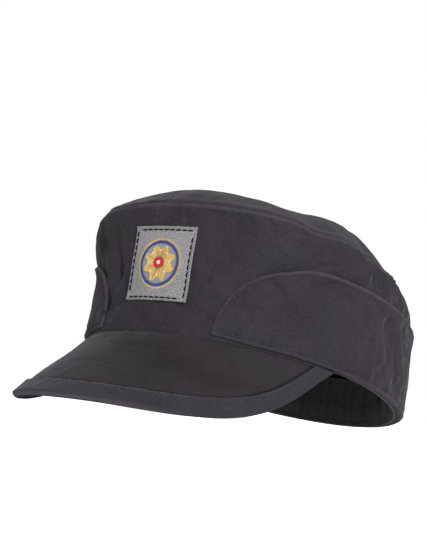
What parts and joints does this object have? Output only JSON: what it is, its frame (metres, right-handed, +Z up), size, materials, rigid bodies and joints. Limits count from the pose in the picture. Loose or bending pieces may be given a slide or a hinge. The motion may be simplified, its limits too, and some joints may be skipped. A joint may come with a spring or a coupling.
{
  "type": "military field cap",
  "caption": "Soft dark cotton field cap with a domed top, stiff bound peak, turned-up neck curtain, sweatband and plain front patch.",
  "frame": {"origin": "on the surface that the cap rests on, under the middle of its bounding box", "axes": "+Z up, the peak points along -Y, +X is the wearer's left"},
  "size_m": [0.1746, 0.2752, 0.1188],
  "materials": {
    "crown_cloth": "matte charcoal cotton twill with a faint sheen",
    "peak_cloth": "matte charcoal cotton twill, drawn tight over the stiffener",
    "binding_cloth": "matte charcoal cotton strip with stitched edge",
    "band_cloth": "matte near-black cotton band",
    "badge_cloth": "woven grey patch with embroidered motif"
  },
  "bodies": {
    "root": {"crown_wall": "crown_cloth", "crown_top": "crown_cloth", "curtain": "crown_cloth", "peak": "peak_cloth", "peak_binding": "binding_cloth", "sweatband": "band_cloth", "badge": "badge_cloth"}
  },
  "joints": []
}
